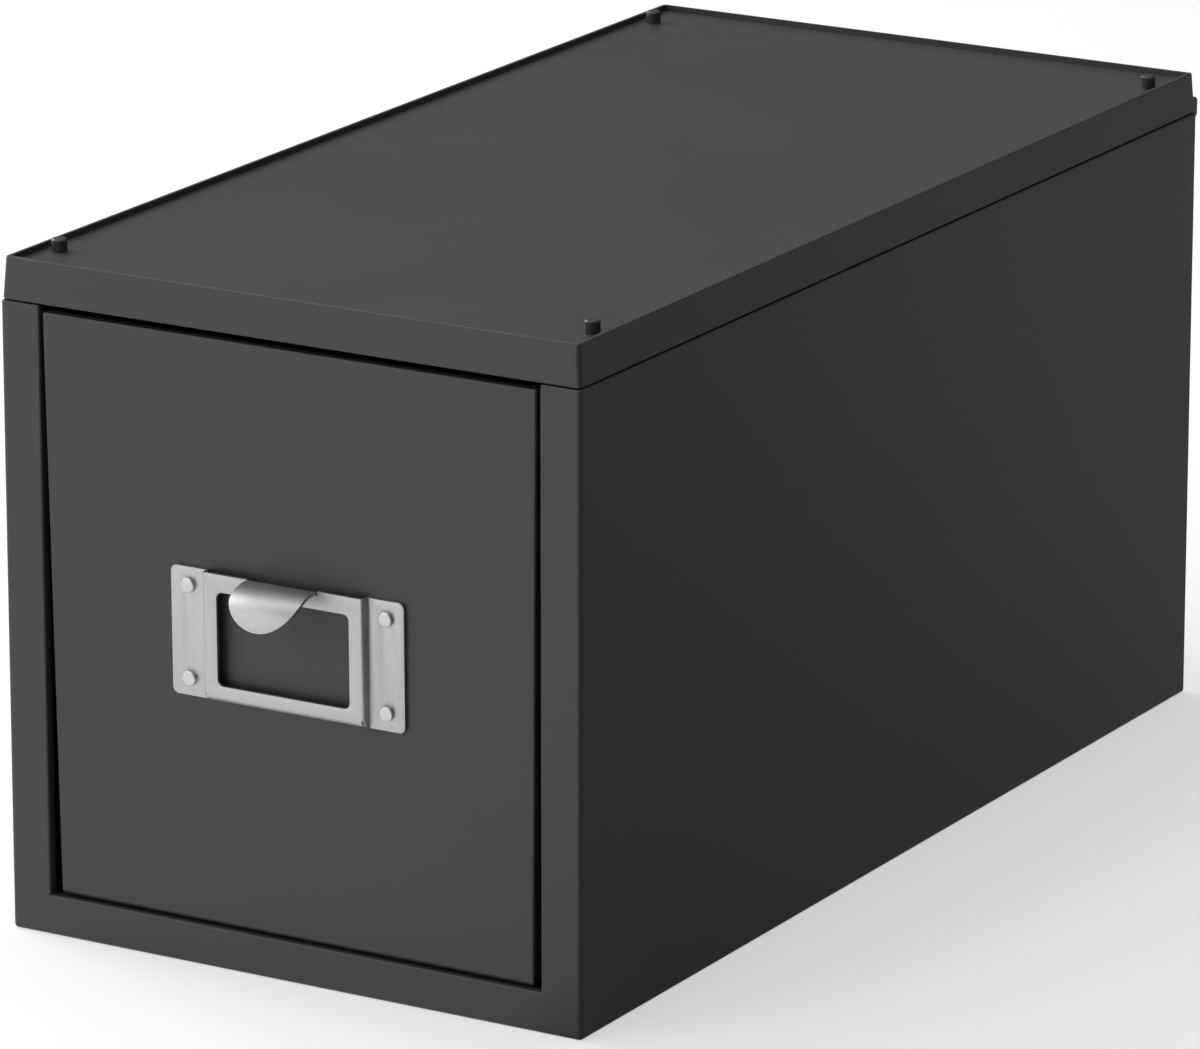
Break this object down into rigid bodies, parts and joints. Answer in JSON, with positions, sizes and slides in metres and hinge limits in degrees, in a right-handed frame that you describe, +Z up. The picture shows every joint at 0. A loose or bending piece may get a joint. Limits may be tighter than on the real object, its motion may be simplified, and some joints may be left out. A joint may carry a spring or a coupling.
{
  "type": "desktop file drawer",
  "caption": "Stackable desktop drawer case with a rear-hinged lid, a deep pull-out drawer and a riveted metal label holder with a curled pull tongue.",
  "frame": {"origin": "centre of the case's underside", "axes": "+X to the right seen from the front, -Y towards the user (the drawer opens along -Y), +Z up"},
  "size_m": [0.175, 0.3648, 0.1856],
  "materials": {
    "moulded_plastic": "satin moulded dark grey",
    "pin_plastic": "satin moulded dark grey",
    "stainless_sheet": "fine brushed",
    "rivet_metal": "satin",
    "washer_metal": "zinc plated",
    "steel_rod": "drawn rod"
  },
  "bodies": {
    "case": {"case_body": "moulded_plastic", "hinge_pin_left": "steel_rod", "hinge_pin_right": "steel_rod"},
    "drawer": {"drawer_tray": "moulded_plastic", "label_holder": "stainless_sheet", "rivet_upper_left": "rivet_metal", "rivet_washer_upper_left": "washer_metal", "rivet_lower_left": "rivet_metal", "rivet_washer_lower_left": "washer_metal", "rivet_upper_right": "rivet_metal", "rivet_washer_upper_right": "washer_metal", "rivet_lower_right": "rivet_metal", "rivet_washer_lower_right": "washer_metal"},
    "lid": {"lid": "moulded_plastic", "stacking_pin_front_left": "pin_plastic", "stacking_pin_rear_left": "pin_plastic", "stacking_pin_front_right": "pin_plastic", "stacking_pin_rear_right": "pin_plastic"}
  },
  "joints": [
    {"name": "drawer_slide", "type": "slide", "parent": "case", "child": "drawer", "axis": [0, -1, 0], "range_m": [0, 0.28]},
    {"name": "lid_hinge", "type": "hinge", "parent": "case", "child": "lid", "pos_m": [0, 0.17485, 0.17215], "axis": [-1, 0, 0], "range_deg": [0, 105]}
  ]
}
